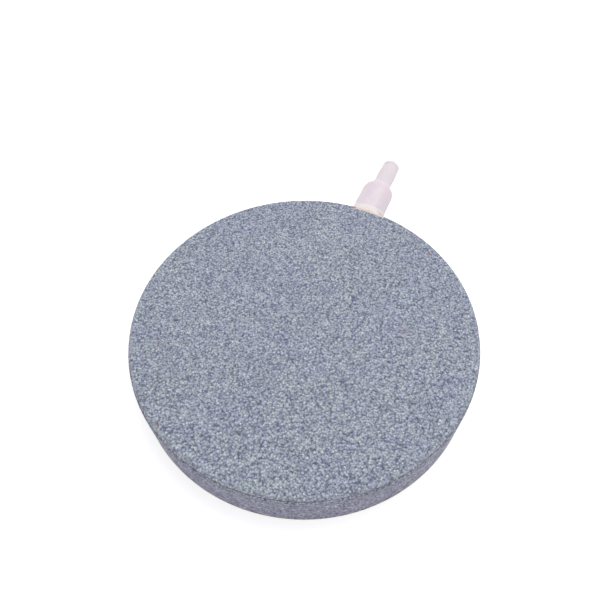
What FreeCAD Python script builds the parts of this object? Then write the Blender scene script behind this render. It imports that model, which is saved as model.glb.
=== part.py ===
import FreeCAD, Part
import os

import Sketcher
from FreeCAD import Placement, Vector

# A disc air stone for a pond or an aquarium.
# Two fired grit plates are glued round their rim over a shallow air chamber. Posts moulded in
# both plates meet across the chamber and are glued too. The rim and the underside are sealed,
# so the air leaves through the top face. A rigid tube carries the air through the rim from a
# soft, bottle-shaped hose nozzle, which sits on the tube in a bead of glue.
#
# Frame: millimetres, +Z up, the origin in the middle of the face it rests on, and the nozzle
# along +Y.

SHEET = "Sizes"

# Driving dimensions: each is a plain number in the spreadsheet, under its own alias.
SIZES = {
    # the disc as a whole
    "disc_diameter": 80.0,
    "disc_thickness": 13.0,
    # the sealing layers
    "rim_coat_thickness": 0.3,
    "rim_coat_drop": 0.8,  # from the top face down to where the brushed coat stops
    "rim_coat_feather": 0.15,
    "seal_thickness": 0.5,  # poured on the underside
    "seal_chamfer": 0.3,
    # the two stone plates
    "plate_chamfer": 0.6,  # the broken top edge
    "chamber_diameter": 58.0,
    "roof_recess": 1.6,
    "floor_recess": 1.4,
    "post_diameter": 6.0,
    "post_circle": 34.0,  # diameter of the circle that the outer posts stand on
    "post_count": 6,
    "bond_thickness": 0.2,
    "dab_margin": 0.4,  # how far a glue dab stays inside its post
    # the air inlet
    "tube_outer": 4.6,
    "tube_bore": 3.0,
    "tube_inside": 1.6,  # how far the tube reaches into the chamber
    "tube_chamfer": 0.3,
    "hole_clearance": 0.4,  # all round the tube, filled with glue
    "glue_setback": 1.6,  # from the chamber's wall to where that glue starts
    # the nozzle
    "nozzle_standoff": 1.2,  # from the rim to the nozzle's open end
    "ring_diameter": 9.1,
    "ring_width": 1.8,
    "body_diameter": 8.8,
    "body_length": 11.2,
    "shoulder_length": 2.2,
    "root_diameter": 6.0,
    "root_length": 1.8,
    "neck_fillet": 0.7,
    "spigot_diameter": 5.1,
    "spigot_length": 5.6,
    "lead_diameter": 4.9,
    "lead_length": 3.6,
    "tip_chamfer_length": 0.6,
    "tip_chamfer_depth": 0.4,
    "air_bore": 2.4,
    "socket_depth": 8.0,
    "socket_end_gap": 0.3,
    # the glue bead round the nozzle
    "bead_diameter": 10.0,  # where it meets the disc
    "bead_overlap": 0.5,  # how far it climbs the nozzle
    "bead_lip": 0.3,  # its thickness where it ends
}

SOLIDS_IN = {"post_bonds": SIZES["post_count"] + 1}
SMALL = 1e-6


class Dim:
    """A length as a number and as the spreadsheet expression that gives it."""

    def __init__(self, value, text):
        self.value = value
        self.text = text

    @staticmethod
    def of(other):
        """A plain number as a Dim; a Dim as it is."""
        return other if isinstance(other, Dim) else Dim(float(other), str(float(other)))

    def __add__(self, other):
        other = Dim.of(other)
        return Dim(self.value + other.value, f"({self.text} + {other.text})")

    def __sub__(self, other):
        other = Dim.of(other)
        return Dim(self.value - other.value, f"({self.text} - {other.text})")

    def __mul__(self, other):
        other = Dim.of(other)
        return Dim(self.value * other.value, f"({self.text} * {other.text})")

    def __truediv__(self, other):
        other = Dim.of(other)
        return Dim(self.value / other.value, f"({self.text} / {other.text})")

    def __neg__(self):
        return Dim(-self.value, f"(-1 * {self.text})")


def size(name):
    """The driving dimension of that name."""
    return Dim(float(SIZES[name]), f"{SHEET}.{name}")


ZERO = Dim.of(0)

# Radii and levels that several pieces share.
RIM_RADIUS = size("disc_diameter") / 2
STONE_RADIUS = RIM_RADIUS - size("rim_coat_thickness")
CHAMBER_RADIUS = size("chamber_diameter") / 2
POST_RADIUS = size("post_diameter") / 2
POST_RING_RADIUS = size("post_circle") / 2
DAB_RADIUS = POST_RADIUS - size("dab_margin")
MID_HEIGHT = size("disc_thickness") / 2
BOND_TOP = MID_HEIGHT + size("bond_thickness") / 2
BOND_BOTTOM = MID_HEIGHT - size("bond_thickness") / 2
HOLE_RADIUS = size("tube_outer") / 2 + size("hole_clearance")

# Places along the nozzle's axis, measured from the middle of the disc.
TUBE_START = CHAMBER_RADIUS - size("tube_inside")
HOLE_START = TUBE_START - size("hole_clearance")
NOZZLE_START = RIM_RADIUS + size("nozzle_standoff")
SOCKET_END = NOZZLE_START + size("socket_depth")
TUBE_END = SOCKET_END - size("socket_end_gap")
BODY_END = NOZZLE_START + size("body_length")
NECK = BODY_END + size("shoulder_length")
SPIGOT_START = NECK + size("root_length")
SPIGOT_END = SPIGOT_START + size("spigot_length")
NOZZLE_END = SPIGOT_END + size("lead_length")


def make_sheet(doc):
    """The spreadsheet of driving dimensions: name, value, alias."""
    sheet = doc.addObject("Spreadsheet::Sheet", SHEET)
    for row, (name, value) in enumerate(SIZES.items(), start=1):
        sheet.set(f"A{row}", name)
        sheet.set(f"B{row}", str(value))
        sheet.setAlias(f"B{row}", name)
    doc.recompute()
    return sheet


def make_body(doc, name):
    """An empty PartDesign body, labelled with the piece's name."""
    body = doc.addObject("PartDesign::Body", name)
    body.Label = name
    return body


def attach(body, name, plane, lift=ZERO, shift=ZERO):
    """A sketch on an origin plane of the body, lifted along its normal and shifted along its own y."""
    sketch = body.newObject("Sketcher::SketchObject", name)
    origin = next(f for f in body.Origin.OriginFeatures if f.Role == plane)
    sketch.AttachmentSupport = [(origin, "")]
    sketch.MapMode = "FlatFace"
    sketch.AttachmentOffset = Placement(Vector(0, shift.value, lift.value), FreeCAD.Rotation())
    sketch.setExpression(".AttachmentOffset.Base.z", lift.text)
    sketch.setExpression(".AttachmentOffset.Base.y", shift.text)
    return sketch


def bind(sketch, constraint, name, dim):
    """Adds a dimensional constraint and drives it from the spreadsheet."""
    index = sketch.addConstraint(constraint)
    sketch.renameConstraint(index, name)
    sketch.setExpression(f"Constraints.{name}", dim.text)


def add_circle(sketch, name, radius, x=None):
    """A circle about the sketch's origin, or at x along its own x axis."""
    centre = Vector(x.value if x else 0, 0, 0)
    geo = sketch.addGeometry(Part.Circle(centre, Vector(0, 0, 1), radius.value), False)
    if x:
        sketch.addConstraint(Sketcher.Constraint("PointOnObject", geo, 3, -1))
        bind(sketch, Sketcher.Constraint("DistanceX", -1, 1, geo, 3, x.value), name + "_x", x)
    else:
        sketch.addConstraint(Sketcher.Constraint("Coincident", geo, 3, -1, 1))
    bind(sketch, Sketcher.Constraint("Radius", geo, radius.value), name + "_radius", radius)
    return geo


def add_profile(sketch, points, shoulder=None):
    """A closed outline through points (name, along, out), each placed from the origin.

    shoulder names the point after which the outline is an arc, tangent to the line before it.
    """
    at = [Vector(along.value, out.value, 0) for _, along, out in points]
    edges = []
    for i, (name, _, _) in enumerate(points):
        start, end = at[i], at[(i + 1) % len(at)]
        if name == shoulder:
            drop, run = start.y - end.y, end.x - start.x
            radius = (run * run + drop * drop) / (2 * drop)
            middle = Vector(start.x, start.y - radius, 0)
            circle = Part.Circle(middle, Vector(0, 0, 1), radius)
            first, last = circle.parameter(end), circle.parameter(start)
            edges.append((sketch.addGeometry(Part.ArcOfCircle(circle, first, last), False), 2, 1))
        else:
            edges.append((sketch.addGeometry(Part.LineSegment(start, end), False), 1, 2))
    for i, (geo, _, finish) in enumerate(edges):
        following, begin, _ = edges[(i + 1) % len(edges)]
        if points[(i + 1) % len(points)][0] == shoulder:
            joint = Sketcher.Constraint("Tangent", geo, finish, following, begin)
        else:
            joint = Sketcher.Constraint("Coincident", geo, finish, following, begin)
        sketch.addConstraint(joint)
    for (name, along, out), (geo, begin, _) in zip(points, edges):
        bind(sketch, Sketcher.Constraint("DistanceX", -1, 1, geo, begin, along.value), name + "_along", along)
        bind(sketch, Sketcher.Constraint("DistanceY", -1, 1, geo, begin, out.value), name + "_out", out)


def feature(body, kind, name, sketch, length=None, towards_back=False):
    """A Pad, Pocket or Revolution of the sketch; towards_back turns it the other way."""
    made = body.newObject(f"PartDesign::{kind}", name)
    made.Profile = sketch
    if length is not None:
        made.Length = length.value
        made.setExpression("Length", length.text)
    made.Reversed = towards_back
    body.Tip = made
    return made


def round_edges(shape, centre, radius):
    """Names of the shape's circular edges with that centre and radius."""
    found = []
    for i, edge in enumerate(shape.Edges, start=1):
        curve = edge.Curve
        if not isinstance(curve, Part.Circle) or abs(curve.Radius - radius.value) > SMALL:
            continue
        if (curve.Center - centre).Length < SMALL:
            found.append(f"Edge{i}")
    return found


def dress_edge(doc, body, kind, name, base, centre, radius, amount):
    """A Chamfer or Fillet on the circular edge with that centre and radius."""
    doc.recompute()
    names = round_edges(base.Shape, centre, radius)
    if not names:
        raise RuntimeError(f"{name}: no edge of radius {radius.value} at {centre}")
    made = body.newObject(f"PartDesign::{kind}", name)
    made.Base = (base, names)
    key = "Size" if kind == "Chamfer" else "Radius"
    setattr(made, key, amount.value)
    made.setExpression(key, amount.text)
    body.Tip = made
    return made


def ring_pattern(body, name, original, count):
    """Repeats a feature evenly round the Z axis."""
    pattern = body.newObject("PartDesign::PolarPattern", name)
    pattern.Originals = [original]
    axis = next(f for f in body.Origin.OriginFeatures if f.Role == "Z_Axis")
    pattern.Axis = (axis, [""])
    pattern.Angle = 360
    pattern.Occurrences = int(count.value)
    pattern.setExpression("Occurrences", count.text)
    body.Tip = pattern
    return pattern


def cut_inlet_hole(body):
    """The hole for the tube and its glue, out through the rim along +Y."""
    sketch = attach(body, body.Name + "_hole_sketch", "XZ_Plane", lift=-HOLE_START, shift=MID_HEIGHT)
    add_circle(sketch, "hole", HOLE_RADIUS)
    return feature(body, "Pocket", body.Name + "_hole", sketch, RIM_RADIUS)


def check_cut(doc, body, volume_before):
    """Stops if the last pocket took nothing away."""
    doc.recompute()
    if body.Shape.Volume > volume_before - SMALL:
        raise RuntimeError(f"{body.Label}: the last pocket cut nothing")


def make_plate(doc, name, low, high, recess, chamber_above):
    """One stone half: a disc with its half of the chamber, its posts and its half of the hole.

    chamber_above says that the chamber opens at the top of this half, as in the base plate.
    """
    body = make_body(doc, name)
    outline = attach(body, name + "_outline", "XY_Plane", lift=low)
    add_circle(outline, "stone", STONE_RADIUS)
    blank = feature(body, "Pad", name + "_blank", outline, high - low)
    if not chamber_above:
        top_centre = Vector(0, 0, high.value)
        dress_edge(
            doc, body, "Chamfer", name + "_edge", blank, top_centre, STONE_RADIUS, size("plate_chamfer")
        )
    doc.recompute()
    volume = body.Shape.Volume

    mouth = high if chamber_above else low
    chamber = attach(body, name + "_chamber_sketch", "XY_Plane", lift=mouth)
    add_circle(chamber, "chamber", CHAMBER_RADIUS)
    feature(body, "Pocket", name + "_chamber", chamber, recess, towards_back=not chamber_above)
    check_cut(doc, body, volume)

    for label, place in (("middle", None), ("outer", POST_RING_RADIUS)):
        post_sketch = attach(body, f"{name}_{label}_post_sketch", "XY_Plane", lift=mouth)
        add_circle(post_sketch, "post", POST_RADIUS, place)
        post = feature(body, "Pad", f"{name}_{label}_post", post_sketch, recess, chamber_above)
    ring_pattern(body, name + "_posts", post, size("post_count"))

    doc.recompute()
    volume = body.Shape.Volume
    cut_inlet_hole(body)
    check_cut(doc, body, volume)
    return body


def make_rim_bond(doc):
    """The ring of glue that joins the two plates outside the chamber."""
    body = make_body(doc, "rim_bond")
    sketch = attach(body, "rim_bond_sketch", "XY_Plane", lift=BOND_BOTTOM)
    add_circle(sketch, "outside", STONE_RADIUS)
    add_circle(sketch, "inside", CHAMBER_RADIUS)
    feature(body, "Pad", "rim_bond_ring", sketch, size("bond_thickness"))
    doc.recompute()
    volume = body.Shape.Volume
    cut_inlet_hole(body)
    check_cut(doc, body, volume)
    return body


def make_post_bonds(doc):
    """A dab of glue between each pair of posts."""
    body = make_body(doc, "post_bonds")
    body.AllowCompound = True
    for label, place in (("middle", None), ("outer", POST_RING_RADIUS)):
        sketch = attach(body, label + "_dab_sketch", "XY_Plane", lift=BOND_BOTTOM)
        add_circle(sketch, "dab", DAB_RADIUS, place)
        dab = feature(body, "Pad", label + "_dab", sketch, size("bond_thickness"))
    ring_pattern(body, "dabs", dab, size("post_count"))
    return body


def make_rim_coat(doc):
    """The sealing coat brushed round the side wall, thinned out at its upper edge."""
    body = make_body(doc, "rim_coat")
    height = size("disc_thickness") - size("rim_coat_drop") - size("seal_thickness")
    sketch = attach(body, "rim_coat_sketch", "XY_Plane", lift=size("seal_thickness"))
    add_circle(sketch, "outside", RIM_RADIUS)
    add_circle(sketch, "inside", STONE_RADIUS)
    ring = feature(body, "Pad", "rim_coat_ring", sketch, height)
    top_centre = Vector(0, 0, (size("disc_thickness") - size("rim_coat_drop")).value)
    dress_edge(
        doc, body, "Chamfer", "rim_coat_edge", ring, top_centre, RIM_RADIUS, size("rim_coat_feather")
    )
    doc.recompute()
    volume = body.Shape.Volume
    cut_inlet_hole(body)
    check_cut(doc, body, volume)
    return body


def make_underside_seal(doc):
    """The resin poured over the underside, with its lower edge broken."""
    body = make_body(doc, "underside_seal")
    sketch = attach(body, "underside_seal_sketch", "XY_Plane")
    add_circle(sketch, "outside", RIM_RADIUS)
    disc = feature(body, "Pad", "underside_seal_disc", sketch, size("seal_thickness"))
    dress_edge(
        doc, body, "Chamfer", "underside_seal_edge", disc, Vector(0, 0, 0), RIM_RADIUS, size("seal_chamfer")
    )
    return body


def revolve_about_axis(body, name, points, shoulder=None):
    """Turns an outline of (name, along, out) points about the nozzle's axis."""
    sketch = attach(body, name + "_sketch", "YZ_Plane", shift=MID_HEIGHT)
    add_profile(sketch, points, shoulder)
    turned = feature(body, "Revolution", name, sketch)
    turned.ReferenceAxis = (sketch, ["H_Axis"])
    turned.Angle = 360
    return turned


def make_inlet_tube(doc):
    """The rigid tube from the chamber, through the rim, into the nozzle's socket."""
    body = make_body(doc, "inlet_tube")
    outer, bore, edge = size("tube_outer") / 2, size("tube_bore") / 2, size("tube_chamfer")
    revolve_about_axis(
        body,
        "inlet_tube_wall",
        [
            ("inner_mouth", TUBE_START, bore),
            ("inner_rim", TUBE_START, outer - edge),
            ("inner_edge", TUBE_START + edge, outer),
            ("outer_edge", TUBE_END - edge, outer),
            ("outer_rim", TUBE_END, outer - edge),
            ("outer_mouth", TUBE_END, bore),
        ],
    )
    return body


def make_hose_nozzle(doc):
    """The soft nozzle: a socket over the tube, a round shoulder and a thin spigot for the hose."""
    body = make_body(doc, "hose_nozzle")
    ring, wall = size("ring_diameter") / 2, size("body_diameter") / 2
    root, spigot = size("root_diameter") / 2, size("spigot_diameter") / 2
    lead, air = size("lead_diameter") / 2, size("air_bore") / 2
    tip = lead - size("tip_chamfer_depth")
    socket = size("tube_outer") / 2
    turned = revolve_about_axis(
        body,
        "hose_nozzle_wall",
        [
            ("mouth", NOZZLE_START, socket),
            ("ring_start", NOZZLE_START, ring),
            ("ring_end", NOZZLE_START + size("ring_width"), ring),
            ("body_start", NOZZLE_START + size("ring_width"), wall),
            ("body_end", BODY_END, wall),
            ("neck", NECK, root),
            ("spigot_start", SPIGOT_START, spigot),
            ("spigot_end", SPIGOT_END, spigot),
            ("lead_end", NOZZLE_END - size("tip_chamfer_length"), lead),
            ("tip_rim", NOZZLE_END, tip),
            ("tip_mouth", NOZZLE_END, air),
            ("socket_step", SOCKET_END, air),
            ("socket_end", SOCKET_END, socket),
        ],
        shoulder="body_end",
    )
    neck_centre = Vector(0, NECK.value, MID_HEIGHT.value)
    dress_edge(doc, body, "Fillet", "neck_fillet", turned, neck_centre, root, size("neck_fillet"))
    return body


def make_cylinder(doc, name, radius, start, length):
    """A Part cylinder along the nozzle's axis, from start."""
    made = doc.addObject("Part::Cylinder", name)
    made.Placement = Placement(
        Vector(0, start.value, MID_HEIGHT.value), FreeCAD.Rotation(Vector(1, 0, 0), -90)
    )
    made.setExpression("Radius", radius.text)
    made.setExpression("Height", length.text)
    made.setExpression(".Placement.Base.y", start.text)
    made.setExpression(".Placement.Base.z", MID_HEIGHT.text)
    return made


def make_cut(doc, name, base, tool):
    """base less tool, as a Part boolean."""
    made = doc.addObject("Part::Cut", name)
    made.Base, made.Tool = base, tool
    return made


def make_nozzle_glue(doc):
    """The glue: a sleeve round the tube in its hole, and a bead outside that cups the nozzle's end."""
    overlap_end = NOZZLE_START + size("bead_overlap")
    bead_radius = size("bead_diameter") / 2
    lip_radius = size("ring_diameter") / 2 + size("bead_lip")

    cone = doc.addObject("Part::Cone", "bead_cone")
    cone.Placement = Placement(
        Vector(0, RIM_RADIUS.value, MID_HEIGHT.value), FreeCAD.Rotation(Vector(1, 0, 0), -90)
    )
    cone.setExpression("Radius1", bead_radius.text)
    cone.setExpression("Radius2", lip_radius.text)
    cone.setExpression("Height", (overlap_end - RIM_RADIUS).text)
    cone.setExpression(".Placement.Base.y", RIM_RADIUS.text)
    cone.setExpression(".Placement.Base.z", MID_HEIGHT.text)

    foot = make_cylinder(doc, "bead_foot", bead_radius, CHAMBER_RADIUS, RIM_RADIUS - CHAMBER_RADIUS)
    disc = doc.addObject("Part::Cylinder", "disc_outside")
    disc.setExpression("Radius", RIM_RADIUS.text)
    disc.setExpression("Height", size("disc_thickness").text)
    seated_foot = make_cut(doc, "bead_seated_foot", foot, disc)

    sleeve_start = CHAMBER_RADIUS + size("glue_setback")
    sleeve = make_cylinder(doc, "glue_sleeve", HOLE_RADIUS, sleeve_start, NOZZLE_START - sleeve_start)
    whole = doc.addObject("Part::MultiFuse", "glue_whole")
    whole.Shapes = [cone, seated_foot, sleeve]

    cup = make_cylinder(doc, "nozzle_end", size("ring_diameter") / 2, NOZZLE_START, size("body_length"))
    tube = make_cylinder(doc, "tube_path", size("tube_outer") / 2, TUBE_START, TUBE_END - TUBE_START)
    glue = make_cut(doc, "nozzle_glue", make_cut(doc, "glue_cupped", whole, cup), tube)
    glue.Label = "nozzle_glue"
    return glue


def check_and_export(doc, pieces):
    """Stops on any failed object or bad solid, and writes one STEP file for each piece."""
    doc.recompute()
    for item in doc.Objects:
        if "Invalid" in item.State or "Error" in item.State:
            raise RuntimeError(f"{item.Label} failed: {item.State}")
    for piece in pieces:
        shape = piece.Shape
        wanted = SOLIDS_IN.get(piece.Label, 1)
        if shape.isNull() or not shape.isValid() or len(shape.Solids) != wanted:
            raise RuntimeError(f"{piece.Label}: bad shape, {len(shape.Solids)} solids for {wanted}")
    os.makedirs("parts", exist_ok=True)
    for piece in pieces:
        piece.Shape.exportStep(f"parts/{piece.Label}.step")
        print(f"{piece.Label}: {len(piece.Shape.Solids)} solid(s), {piece.Shape.Volume:.1f} mm3")


def main():
    doc = FreeCAD.newDocument("air_stone")
    make_sheet(doc)
    pieces = [
        make_plate(
            doc, "diffuser_plate", BOND_TOP, size("disc_thickness"), size("roof_recess"), chamber_above=False
        ),
        make_plate(
            doc, "base_plate", size("seal_thickness"), BOND_BOTTOM, size("floor_recess"), chamber_above=True
        ),
        make_rim_bond(doc),
        make_post_bonds(doc),
        make_rim_coat(doc),
        make_underside_seal(doc),
        make_inlet_tube(doc),
        make_hose_nozzle(doc),
        make_nozzle_glue(doc),
    ]
    check_and_export(doc, pieces)


main()
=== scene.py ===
import logging
import math
from contextlib import contextmanager
from dataclasses import dataclass
from enum import Enum
from functools import reduce
from typing import Callable, Iterator, Optional, Sequence, Union

import bpy
import numpy as np
from mathutils import Euler, Matrix, Vector


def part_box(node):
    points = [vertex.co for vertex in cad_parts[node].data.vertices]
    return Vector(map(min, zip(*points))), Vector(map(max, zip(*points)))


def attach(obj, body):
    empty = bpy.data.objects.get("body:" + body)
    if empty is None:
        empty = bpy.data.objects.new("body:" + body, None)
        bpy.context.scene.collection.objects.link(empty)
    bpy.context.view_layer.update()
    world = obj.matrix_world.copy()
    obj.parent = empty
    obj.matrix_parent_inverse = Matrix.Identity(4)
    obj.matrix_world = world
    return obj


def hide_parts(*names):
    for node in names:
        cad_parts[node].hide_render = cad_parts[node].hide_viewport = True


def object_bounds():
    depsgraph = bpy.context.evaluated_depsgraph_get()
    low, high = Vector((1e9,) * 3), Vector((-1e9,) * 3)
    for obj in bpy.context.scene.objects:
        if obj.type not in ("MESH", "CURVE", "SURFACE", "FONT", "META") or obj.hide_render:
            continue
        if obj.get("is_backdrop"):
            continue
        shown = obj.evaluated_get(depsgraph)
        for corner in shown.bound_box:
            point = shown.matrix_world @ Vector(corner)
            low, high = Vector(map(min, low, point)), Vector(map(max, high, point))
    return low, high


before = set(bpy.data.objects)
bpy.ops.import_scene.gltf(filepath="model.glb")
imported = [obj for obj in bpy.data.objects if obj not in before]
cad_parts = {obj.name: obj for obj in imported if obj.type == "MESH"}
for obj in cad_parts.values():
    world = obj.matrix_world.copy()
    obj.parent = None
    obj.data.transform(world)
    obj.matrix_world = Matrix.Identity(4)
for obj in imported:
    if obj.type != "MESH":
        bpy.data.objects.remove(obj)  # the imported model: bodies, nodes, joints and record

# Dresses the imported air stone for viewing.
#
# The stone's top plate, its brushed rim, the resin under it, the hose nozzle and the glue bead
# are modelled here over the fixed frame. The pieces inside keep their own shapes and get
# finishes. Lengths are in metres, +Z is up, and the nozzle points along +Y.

LOG = logging.getLogger("air_stone")
MM = 0.001
BODY = "root"
GRAIN = 0.46 * MM  # across a coarse grain
FINE_SHIFT = (0.37, 0.11, 0.23)  # keeps the pattern of the finer grains apart from the coarse one
WHITE = (1.0, 1.0, 1.0, 1.0)
AMBER_REACH = (1.0, 0.7, 0.4)  # how far red, green and blue light go into glue and resin
ROSY_REACH = (1.0, 0.8, 0.9)  # and into the soft plastic
LEVEL = (1.0, 1.0, 0.0)  # multiplies a place to take its height away
REST = "rest_position"  # the attribute that keeps a point's place from before the grit was raised

Socket = bpy.types.NodeSocket
Number = Union[float, Socket]
Colour = tuple[float, float, float]


class Slot(Enum):
    """The record's material slots for the new pieces; they are passed along but not assigned."""

    STONE = "grit_stone"
    COAT = "rim_sealer"
    RESIN = "poured_resin"
    BEAD_GLUE = "bead_glue"
    NOZZLE = "soft_plastic"


class Space(Enum):
    """What a pattern is laid out on."""

    OBJECT = "the object's own coordinates"
    REST = "the place that each point had before it was displaced"


# ---------------------------------------------------------------------------------------------
# Modelling helpers


def activate(piece: bpy.types.Object) -> None:
    """Selects one object alone and makes it active.

    Args:
        piece: the object.
    """
    bpy.ops.object.select_all(action="DESELECT")
    piece.select_set(True)
    bpy.context.view_layer.objects.active = piece


@contextmanager
def editing(piece: bpy.types.Object, mode: str = "VERT") -> Iterator[bpy.types.Object]:
    """Opens a piece in edit mode with nothing selected.

    Args:
        piece: the object to edit.
        mode: VERT, EDGE or FACE, what its operators select.

    Returns:
        The piece, for as long as the block lasts.
    """
    activate(piece)
    bpy.ops.object.mode_set(mode="EDIT")
    bpy.ops.mesh.select_mode(type=mode)
    bpy.ops.mesh.select_all(action="DESELECT")
    try:
        yield piece
    finally:
        bpy.ops.object.mode_set(mode="OBJECT")


def corners(piece: bpy.types.Object) -> np.ndarray:
    """Reads the places of a piece's vertices.

    Args:
        piece: the mesh to read.

    Returns:
        One row of X, Y and Z for each vertex.
    """
    mesh = piece.data
    places = np.empty(len(mesh.vertices) * 3)
    mesh.vertices.foreach_get("co", places)
    return places.reshape(-1, 3)


def select_upright_edges(piece: bpy.types.Object) -> None:
    """Selects, in edit mode, only the edges that run straight up.

    Args:
        piece: the object in edit mode.
    """
    bpy.ops.object.mode_set(mode="OBJECT")
    mesh = piece.data
    ends = np.empty(len(mesh.edges) * 2, dtype=np.int32)
    mesh.edges.foreach_get("vertices", ends)
    run = np.diff(corners(piece)[ends.reshape(-1, 2)], axis=1)[:, 0]
    mesh.edges.foreach_set("select", np.hypot(run[:, 0], run[:, 1]) < np.abs(run[:, 2]) * 0.01)
    bpy.ops.object.mode_set(mode="EDIT")
    bpy.ops.mesh.select_mode(type="EDGE")


def extrude_edges(outward: float = 1.0, up: float = 0.0) -> None:
    """Extrudes the selected loop, then scales it about the Z axis and lifts it.

    Args:
        outward: how many times its radius the new loop has.
        up: how far the new loop is lifted.
    """
    bpy.ops.mesh.extrude_region_move(TRANSFORM_OT_translate={"value": (0.0, 0.0, up)})
    if outward != 1.0:
        scale_selected(outward)


def scale_selected(factor: float) -> None:
    """Scales the selection sideways about the Z axis."""
    bpy.ops.transform.resize(value=(factor, factor, 1.0), center_override=(0.0, 0.0, 0.0))


def extrude_ring(run: float, factor: float, height: float) -> None:
    """Extrudes the selected ring along +Y, then scales it about the nozzle's axis.

    Args:
        run: how far along +Y.
        factor: how many times its radius the new ring has.
        height: the Z of the axis.
    """
    bpy.ops.mesh.extrude_region_move(TRANSFORM_OT_translate={"value": (0.0, run, 0.0)})
    bpy.ops.transform.resize(value=(factor, 1.0, factor), center_override=(0.0, 0.0, height))


def apply_modifiers(piece: bpy.types.Object) -> None:
    """Applies every modifier of a piece, in order.

    Args:
        piece: the object.
    """
    activate(piece)
    for modifier in list(piece.modifiers):
        bpy.ops.object.modifier_apply(modifier=modifier.name)


def freeze(piece: bpy.types.Object) -> None:
    """Puts a piece's place into its mesh, so that its object is at the origin."""
    activate(piece)
    bpy.ops.object.transform_apply(location=True, rotation=True, scale=True)


def face_outwards(piece: bpy.types.Object) -> None:
    """Merges doubles and turns every face of a closed piece outwards.

    Args:
        piece: the closed mesh.
    """
    with editing(piece):
        bpy.ops.mesh.select_all(action="SELECT")
        bpy.ops.mesh.remove_doubles(threshold=1e-7)
        bpy.ops.mesh.normals_make_consistent(inside=False)


def smooth(piece: bpy.types.Object, angle_deg: float) -> None:
    """Shades a piece smooth where its faces meet at less than an angle."""
    activate(piece)
    bpy.ops.object.shade_smooth_by_angle(angle=math.radians(angle_deg))


def copy_of_node(node: str, name: str) -> bpy.types.Object:
    """Copies a CAD node's mesh, to be worked on, and merges its loose triangles.

    Args:
        node: the CAD node.
        name: the new piece's name.

    Returns:
        The copy.
    """
    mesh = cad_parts[node].data.copy()
    mesh.materials.clear()
    piece = bpy.data.objects.new(name, mesh)
    bpy.context.scene.collection.objects.link(piece)
    with editing(piece):
        bpy.ops.mesh.select_all(action="SELECT")
        bpy.ops.mesh.remove_doubles(threshold=1e-6)
    return piece


def cut_with(piece: bpy.types.Object, cutter: bpy.types.Object) -> None:
    """Cuts one closed piece out of another and removes the cutter.

    Args:
        piece: the piece that is cut.
        cutter: the shape that is taken out of it.
    """
    modifier = piece.modifiers.new("cut", "BOOLEAN")
    modifier.operation = "DIFFERENCE"
    modifier.solver = "EXACT"
    modifier.object = cutter
    apply_modifiers(piece)
    bpy.data.objects.remove(cutter)


def rod_along_y(radius: float, start: float, end: float, height: float, sides: int = 96) -> bpy.types.Object:
    """Makes a closed rod along +Y, for cutting.

    Args:
        radius: its radius.
        start: the Y of its near end.
        end: the Y of its far end.
        height: the Z of its axis.
        sides: how many sides stand for the circle.

    Returns:
        The rod.
    """
    bpy.ops.mesh.primitive_cylinder_add(
        vertices=sides,
        radius=radius,
        depth=end - start,
        location=(0.0, (start + end) / 2, height),
        rotation=(math.pi / 2, 0.0, 0.0),
    )
    rod = bpy.context.object
    freeze(rod)
    return rod


def finish_piece(piece: bpy.types.Object, material: bpy.types.Material, slot: Slot, node: str) -> None:
    """Gives a modelled piece its finish and ties it to the frame.

    Args:
        piece: the finished mesh, in place.
        material: its finish.
        slot: the record's slot that the finish belongs to; not used.
        node: the CAD node that the piece stands for.
    """
    piece.data.materials.clear()
    piece.data.materials.append(material)
    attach(piece, BODY)
    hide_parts(node)
    triangles = sum(len(face.vertices) - 2 for face in piece.data.polygons)
    LOG.info("%s stands for %s: %d triangles", piece.name, node, triangles)


# ---------------------------------------------------------------------------------------------
# Node helpers


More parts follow.
